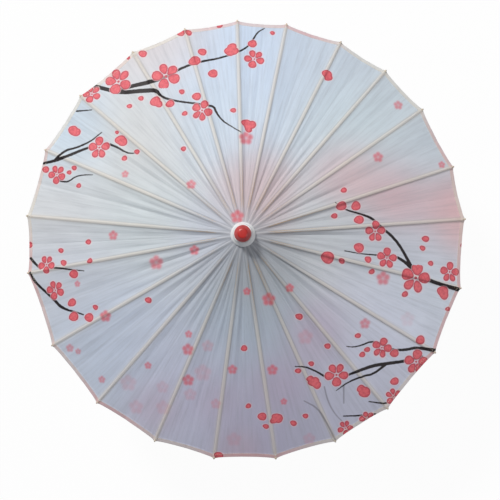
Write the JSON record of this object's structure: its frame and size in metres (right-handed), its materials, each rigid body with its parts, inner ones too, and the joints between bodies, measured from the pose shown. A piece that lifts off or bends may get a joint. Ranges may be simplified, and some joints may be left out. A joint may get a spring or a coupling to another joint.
{
  "type": "oil paper umbrella",
  "caption": "Open oil paper umbrella with a blossom-printed canopy, bamboo ribs and stretchers on notched hubs, a red knob on a white cap, and a turned handle; it folds.",
  "frame": {"origin": "middle of the flat end of the handle", "axes": "+Z along the shaft towards the knob, +Y towards the top of the canopy as it is seen from above"},
  "size_m": [0.8291, 0.8286, 0.544],
  "materials": {
    "bamboo": "scraped bamboo, satin",
    "hub_wood": "turned wood, oiled",
    "grip_wood": "turned wood, lacquered",
    "peg_wood": "whittled bamboo, plain",
    "canopy": "oiled, printed with pink blossom",
    "cap": "smooth white",
    "knob": "red lacquer, glossy",
    "brass": "brushed, a little dull",
    "wire": "drawn wire"
  },
  "bodies": {
    "frame": {"shaft": "bamboo", "grip": "grip_wood", "grip_ring": "brass", "end_button": "grip_wood", "top_hub": "hub_wood", "hub_wire": "wire", "hub_peg": "peg_wood", "stop_peg": "peg_wood", "catch_pin": "wire", "catch_spring": "wire", "canopy": "canopy", "cap": "cap", "knob": "knob"},
    "rib_01": {"rib_01": "bamboo"},
    "stretcher_01": {"stretcher_01": "bamboo"},
    "runner": {"runner": "hub_wood", "runner_wire": "wire"},
    "rib_02": {"rib_02": "bamboo"},
    "stretcher_02": {"stretcher_02": "bamboo"},
    "rib_03": {"rib_03": "bamboo"},
    "stretcher_03": {"stretcher_03": "bamboo"},
    "rib_04": {"rib_04": "bamboo"},
    "stretcher_04": {"stretcher_04": "bamboo"},
    "rib_05": {"rib_05": "bamboo"},
    "stretcher_05": {"stretcher_05": "bamboo"},
    "rib_06": {"rib_06": "bamboo"},
    "stretcher_06": {"stretcher_06": "bamboo"},
    "rib_07": {"rib_07": "bamboo"},
    "stretcher_07": {"stretcher_07": "bamboo"},
    "rib_08": {"rib_08": "bamboo"},
    "stretcher_08": {"stretcher_08": "bamboo"},
    "rib_09": {"rib_09": "bamboo"},
    "stretcher_09": {"stretcher_09": "bamboo"},
    "rib_10": {"rib_10": "bamboo"},
    "stretcher_10": {"stretcher_10": "bamboo"},
    "rib_11": {"rib_11": "bamboo"},
    "stretcher_11": {"stretcher_11": "bamboo"},
    "rib_12": {"rib_12": "bamboo"},
    "stretcher_12": {"stretcher_12": "bamboo"},
    "rib_13": {"rib_13": "bamboo"},
    "stretcher_13": {"stretcher_13": "bamboo"},
    "rib_14": {"rib_14": "bamboo"},
    "stretcher_14": {"stretcher_14": "bamboo"},
    "rib_15": {"rib_15": "bamboo"},
    "stretcher_15": {"stretcher_15": "bamboo"},
    "rib_16": {"rib_16": "bamboo"},
    "stretcher_16": {"stretcher_16": "bamboo"},
    "rib_17": {"rib_17": "bamboo"},
    "stretcher_17": {"stretcher_17": "bamboo"},
    "rib_18": {"rib_18": "bamboo"},
    "stretcher_18": {"stretcher_18": "bamboo"},
    "rib_19": {"rib_19": "bamboo"},
    "stretcher_19": {"stretcher_19": "bamboo"},
    "rib_20": {"rib_20": "bamboo"},
    "stretcher_20": {"stretcher_20": "bamboo"},
    "rib_21": {"rib_21": "bamboo"},
    "stretcher_21": {"stretcher_21": "bamboo"},
    "rib_22": {"rib_22": "bamboo"},
    "stretcher_22": {"stretcher_22": "bamboo"},
    "catch": {"catch": "brass"}
  },
  "joints": [
    {"name": "rib_01_fold", "type": "hinge", "parent": "frame", "child": "rib_01", "pos_m": [0.00286, 0.01472, 0.505], "axis": [-0.9816, 0.1908, 0], "range_deg": [0, 67.3], "deforming": ["canopy", "catch"]},
    {"name": "stretcher_01_fold", "type": "hinge", "parent": "rib_01", "child": "stretcher_01", "pos_m": [0.03514, 0.18076, 0.44344], "axis": [-0.9816, 0.1908, 0], "range_deg": [-134.6, 0]},
    {"name": "runner_hinge", "type": "hinge", "parent": "stretcher_01", "child": "runner", "pos_m": [0.00286, 0.01472, 0.38187], "axis": [-0.9816, 0.1908, 0], "range_deg": [0, 67.3]},
    {"name": "rib_02_fold", "type": "hinge", "parent": "frame", "child": "rib_02", "pos_m": [0.00658, 0.01348, 0.505], "axis": [-0.8988, 0.4384, 0], "range_deg": [0, 67.3]},
    {"name": "stretcher_02_fold", "type": "hinge", "parent": "rib_02", "child": "stretcher_02", "pos_m": [0.08072, 0.16551, 0.44344], "axis": [-0.8988, 0.4384, 0], "range_deg": [-134.6, 0]},
    {"name": "rib_03_fold", "type": "hinge", "parent": "frame", "child": "rib_03", "pos_m": [0.00964, 0.01149, 0.505], "axis": [-0.766, 0.6428, 0], "range_deg": [0, 67.3]},
    {"name": "stretcher_03_fold", "type": "hinge", "parent": "rib_03", "child": "stretcher_03", "pos_m": [0.11837, 0.14106, 0.44344], "axis": [-0.766, 0.6428, 0], "range_deg": [-134.6, 0]},
    {"name": "rib_04_fold", "type": "hinge", "parent": "frame", "child": "rib_04", "pos_m": [0.01214, 0.00882, 0.505], "axis": [-0.5878, 0.809, 0], "range_deg": [0, 67.3]},
    {"name": "stretcher_04_fold", "type": "hinge", "parent": "rib_04", "child": "stretcher_04", "pos_m": [0.14898, 0.10824, 0.44344], "axis": [-0.5878, 0.809, 0], "range_deg": [-134.6, 0]},
    {"name": "rib_05_fold", "type": "hinge", "parent": "frame", "child": "rib_05", "pos_m": [0.01418, 0.00488, 0.505], "axis": [-0.3256, 0.9455, 0], "range_deg": [0, 67.3]},
    {"name": "stretcher_05_fold", "type": "hinge", "parent": "rib_05", "child": "stretcher_05", "pos_m": [0.17411, 0.05995, 0.44344], "axis": [-0.3256, 0.9455, 0], "range_deg": [-134.6, 0]},
    {"name": "rib_06_fold", "type": "hinge", "parent": "frame", "child": "rib_06", "pos_m": [0.01494, 0.00131, 0.505], "axis": [-0.0872, 0.9962, 0], "range_deg": [0, 67.3]},
    {"name": "stretcher_06_fold", "type": "hinge", "parent": "rib_06", "child": "stretcher_06", "pos_m": [0.18344, 0.01605, 0.44344], "axis": [-0.0872, 0.9962, 0], "range_deg": [-134.6, 0]},
    {"name": "rib_07_fold", "type": "hinge", "parent": "frame", "child": "rib_07", "pos_m": [0.01462, -0.00337, 0.505], "axis": [0.225, 0.9744, 0], "range_deg": [0, 67.3]},
    {"name": "stretcher_07_fold", "type": "hinge", "parent": "rib_07", "child": "stretcher_07", "pos_m": [0.17943, -0.04142, 0.44344], "axis": [0.225, 0.9744, 0], "range_deg": [-134.6, 0]},
    {"name": "rib_08_fold", "type": "hinge", "parent": "frame", "child": "rib_08", "pos_m": [0.01286, -0.00773, 0.505], "axis": [0.515, 0.8572, 0], "range_deg": [0, 67.3]},
    {"name": "stretcher_08_fold", "type": "hinge", "parent": "rib_08", "child": "stretcher_08", "pos_m": [0.15784, -0.09484, 0.44344], "axis": [0.515, 0.8572, 0], "range_deg": [-134.6, 0]},
    {"name": "rib_09_fold", "type": "hinge", "parent": "frame", "child": "rib_09", "pos_m": [0.00964, -0.01149, 0.505], "axis": [0.766, 0.6428, 0], "range_deg": [0, 67.3]},
    {"name": "stretcher_09_fold", "type": "hinge", "parent": "rib_09", "child": "stretcher_09", "pos_m": [0.11837, -0.14106, 0.44344], "axis": [0.766, 0.6428, 0], "range_deg": [-134.6, 0]},
    {"name": "rib_10_fold", "type": "hinge", "parent": "frame", "child": "rib_10", "pos_m": [0.0061, -0.0137, 0.505], "axis": [0.9135, 0.4067, 0], "range_deg": [0, 67.3]},
    {"name": "stretcher_10_fold", "type": "hinge", "parent": "rib_10", "child": "stretcher_10", "pos_m": [0.0749, -0.16822, 0.44344], "axis": [0.9135, 0.4067, 0], "range_deg": [-134.6, 0]},
    {"name": "rib_11_fold", "type": "hinge", "parent": "frame", "child": "rib_11", "pos_m": [0.00209, -0.01485, 0.505], "axis": [0.9903, 0.1392, 0], "range_deg": [0, 67.3]},
    {"name": "stretcher_11_fold", "type": "hinge", "parent": "rib_11", "child": "stretcher_11", "pos_m": [0.02563, -0.18235, 0.44344], "axis": [0.9903, 0.1392, 0], "range_deg": [-134.6, 0]},
    {"name": "rib_12_fold", "type": "hinge", "parent": "frame", "child": "rib_12", "pos_m": [-0.00209, -0.01485, 0.505], "axis": [0.9903, -0.1392, 0], "range_deg": [0, 67.3]},
    {"name": "stretcher_12_fold", "type": "hinge", "parent": "rib_12", "child": "stretcher_12", "pos_m": [-0.02563, -0.18235, 0.44344], "axis": [0.9903, -0.1392, 0], "range_deg": [-134.6, 0]},
    {"name": "rib_13_fold", "type": "hinge", "parent": "frame", "child": "rib_13", "pos_m": [-0.0061, -0.0137, 0.505], "axis": [0.9135, -0.4067, 0], "range_deg": [0, 67.3]},
    {"name": "stretcher_13_fold", "type": "hinge", "parent": "rib_13", "child": "stretcher_13", "pos_m": [-0.0749, -0.16822, 0.44344], "axis": [0.9135, -0.4067, 0], "range_deg": [-134.6, 0]},
    {"name": "rib_14_fold", "type": "hinge", "parent": "frame", "child": "rib_14", "pos_m": [-0.01004, -0.01115, 0.505], "axis": [0.7431, -0.6691, 0], "range_deg": [0, 67.3]},
    {"name": "stretcher_14_fold", "type": "hinge", "parent": "rib_14", "child": "stretcher_14", "pos_m": [-0.12322, -0.13685, 0.44344], "axis": [0.7431, -0.6691, 0], "range_deg": [-134.6, 0]},
    {"name": "rib_15_fold", "type": "hinge", "parent": "frame", "child": "rib_15", "pos_m": [-0.01312, -0.00727, 0.505], "axis": [0.4848, -0.8746, 0], "range_deg": [0, 67.3]},
    {"name": "stretcher_15_fold", "type": "hinge", "parent": "rib_15", "child": "stretcher_15", "pos_m": [-0.16106, -0.08928, 0.44344], "axis": [0.4848, -0.8746, 0], "range_deg": [-134.6, 0]},
    {"name": "rib_16_fold", "type": "hinge", "parent": "frame", "child": "rib_16", "pos_m": [-0.01482, -0.00235, 0.505], "axis": [0.1564, -0.9877, 0], "range_deg": [0, 67.3]},
    {"name": "stretcher_16_fold", "type": "hinge", "parent": "rib_16", "child": "stretcher_16", "pos_m": [-0.18188, -0.02881, 0.44344], "axis": [0.1564, -0.9877, 0], "range_deg": [-134.6, 0]},
    {"name": "rib_17_fold", "type": "hinge", "parent": "frame", "child": "rib_17", "pos_m": [-0.01492, 0.00157, 0.505], "axis": [-0.1045, -0.9945, 0], "range_deg": [0, 67.3]},
    {"name": "stretcher_17_fold", "type": "hinge", "parent": "rib_17", "child": "stretcher_17", "pos_m": [-0.18314, 0.01925, 0.44344], "axis": [-0.1045, -0.9945, 0], "range_deg": [-134.6, 0]},
    {"name": "rib_18_fold", "type": "hinge", "parent": "frame", "child": "rib_18", "pos_m": [-0.0137, 0.0061, 0.505], "axis": [-0.4067, -0.9135, 0], "range_deg": [0, 67.3]},
    {"name": "stretcher_18_fold", "type": "hinge", "parent": "rib_18", "child": "stretcher_18", "pos_m": [-0.16822, 0.0749, 0.44344], "axis": [-0.4067, -0.9135, 0], "range_deg": [-134.6, 0]},
    {"name": "rib_19_fold", "type": "hinge", "parent": "frame", "child": "rib_19", "pos_m": [-0.01132, 0.00984, 0.505], "axis": [-0.6561, -0.7547, 0], "range_deg": [0, 67.3]},
    {"name": "stretcher_19_fold", "type": "hinge", "parent": "rib_19", "child": "stretcher_19", "pos_m": [-0.13898, 0.12081, 0.44344], "axis": [-0.6561, -0.7547, 0], "range_deg": [-134.6, 0]},
    {"name": "rib_20_fold", "type": "hinge", "parent": "frame", "child": "rib_20", "pos_m": [-0.00773, 0.01286, 0.505], "axis": [-0.8572, -0.515, 0], "range_deg": [0, 67.3]},
    {"name": "stretcher_20_fold", "type": "hinge", "parent": "rib_20", "child": "stretcher_20", "pos_m": [-0.09484, 0.15784, 0.44344], "axis": [-0.8572, -0.515, 0], "range_deg": [-134.6, 0]},
    {"name": "rib_21_fold", "type": "hinge", "parent": "frame", "child": "rib_21", "pos_m": [-0.00413, 0.01442, 0.505], "axis": [-0.9613, -0.2756, 0], "range_deg": [0, 67.3]},
    {"name": "stretcher_21_fold", "type": "hinge", "parent": "rib_21", "child": "stretcher_21", "pos_m": [-0.05076, 0.17701, 0.44344], "axis": [-0.9613, -0.2756, 0], "range_deg": [-134.6, 0]},
    {"name": "rib_22_fold", "type": "hinge", "parent": "frame", "child": "rib_22", "pos_m": [-0.00052, 0.01499, 0.505], "axis": [-0.9994, -0.0349, 0], "range_deg": [0, 67.3]},
    {"name": "stretcher_22_fold", "type": "hinge", "parent": "rib_22", "child": "stretcher_22", "pos_m": [-0.00643, 0.18403, 0.44344], "axis": [-0.9994, -0.0349, 0], "range_deg": [-134.6, 0]},
    {"name": "catch_press", "type": "hinge", "parent": "frame", "child": "catch", "pos_m": [0, 0, 0.30457], "axis": [0, -1, 0], "range_deg": [0, 7.5], "stiffness_Nm_per_rad": 0.25, "deforming": ["catch_spring"]}
  ],
  "couplings": [
    {"joint": "stretcher_01_fold", "follows": "rib_01_fold", "ratio": -2},
    {"joint": "runner_hinge", "follows": "rib_01_fold", "ratio": 1},
    {"joint": "rib_02_fold", "follows": "rib_01_fold", "ratio": 1},
    {"joint": "stretcher_02_fold", "follows": "rib_01_fold", "ratio": -2},
    {"joint": "rib_03_fold", "follows": "rib_01_fold", "ratio": 1},
    {"joint": "stretcher_03_fold", "follows": "rib_01_fold", "ratio": -2},
    {"joint": "rib_04_fold", "follows": "rib_01_fold", "ratio": 1},
    {"joint": "stretcher_04_fold", "follows": "rib_01_fold", "ratio": -2},
    {"joint": "rib_05_fold", "follows": "rib_01_fold", "ratio": 1},
    {"joint": "stretcher_05_fold", "follows": "rib_01_fold", "ratio": -2},
    {"joint": "rib_06_fold", "follows": "rib_01_fold", "ratio": 1},
    {"joint": "stretcher_06_fold", "follows": "rib_01_fold", "ratio": -2},
    {"joint": "rib_07_fold", "follows": "rib_01_fold", "ratio": 1},
    {"joint": "stretcher_07_fold", "follows": "rib_01_fold", "ratio": -2},
    {"joint": "rib_08_fold", "follows": "rib_01_fold", "ratio": 1},
    {"joint": "stretcher_08_fold", "follows": "rib_01_fold", "ratio": -2},
    {"joint": "rib_09_fold", "follows": "rib_01_fold", "ratio": 1},
    {"joint": "stretcher_09_fold", "follows": "rib_01_fold", "ratio": -2},
    {"joint": "rib_10_fold", "follows": "rib_01_fold", "ratio": 1},
    {"joint": "stretcher_10_fold", "follows": "rib_01_fold", "ratio": -2},
    {"joint": "rib_11_fold", "follows": "rib_01_fold", "ratio": 1},
    {"joint": "stretcher_11_fold", "follows": "rib_01_fold", "ratio": -2},
    {"joint": "rib_12_fold", "follows": "rib_01_fold", "ratio": 1},
    {"joint": "stretcher_12_fold", "follows": "rib_01_fold", "ratio": -2},
    {"joint": "rib_13_fold", "follows": "rib_01_fold", "ratio": 1},
    {"joint": "stretcher_13_fold", "follows": "rib_01_fold", "ratio": -2},
    {"joint": "rib_14_fold", "follows": "rib_01_fold", "ratio": 1},
    {"joint": "stretcher_14_fold", "follows": "rib_01_fold", "ratio": -2},
    {"joint": "rib_15_fold", "follows": "rib_01_fold", "ratio": 1},
    {"joint": "stretcher_15_fold", "follows": "rib_01_fold", "ratio": -2},
    {"joint": "rib_16_fold", "follows": "rib_01_fold", "ratio": 1},
    {"joint": "stretcher_16_fold", "follows": "rib_01_fold", "ratio": -2},
    {"joint": "rib_17_fold", "follows": "rib_01_fold", "ratio": 1},
    {"joint": "stretcher_17_fold", "follows": "rib_01_fold", "ratio": -2},
    {"joint": "rib_18_fold", "follows": "rib_01_fold", "ratio": 1},
    {"joint": "stretcher_18_fold", "follows": "rib_01_fold", "ratio": -2},
    {"joint": "rib_19_fold", "follows": "rib_01_fold", "ratio": 1},
    {"joint": "stretcher_19_fold", "follows": "rib_01_fold", "ratio": -2},
    {"joint": "rib_20_fold", "follows": "rib_01_fold", "ratio": 1},
    {"joint": "stretcher_20_fold", "follows": "rib_01_fold", "ratio": -2},
    {"joint": "rib_21_fold", "follows": "rib_01_fold", "ratio": 1},
    {"joint": "stretcher_21_fold", "follows": "rib_01_fold", "ratio": -2},
    {"joint": "rib_22_fold", "follows": "rib_01_fold", "ratio": 1},
    {"joint": "stretcher_22_fold", "follows": "rib_01_fold", "ratio": -2}
  ]
}
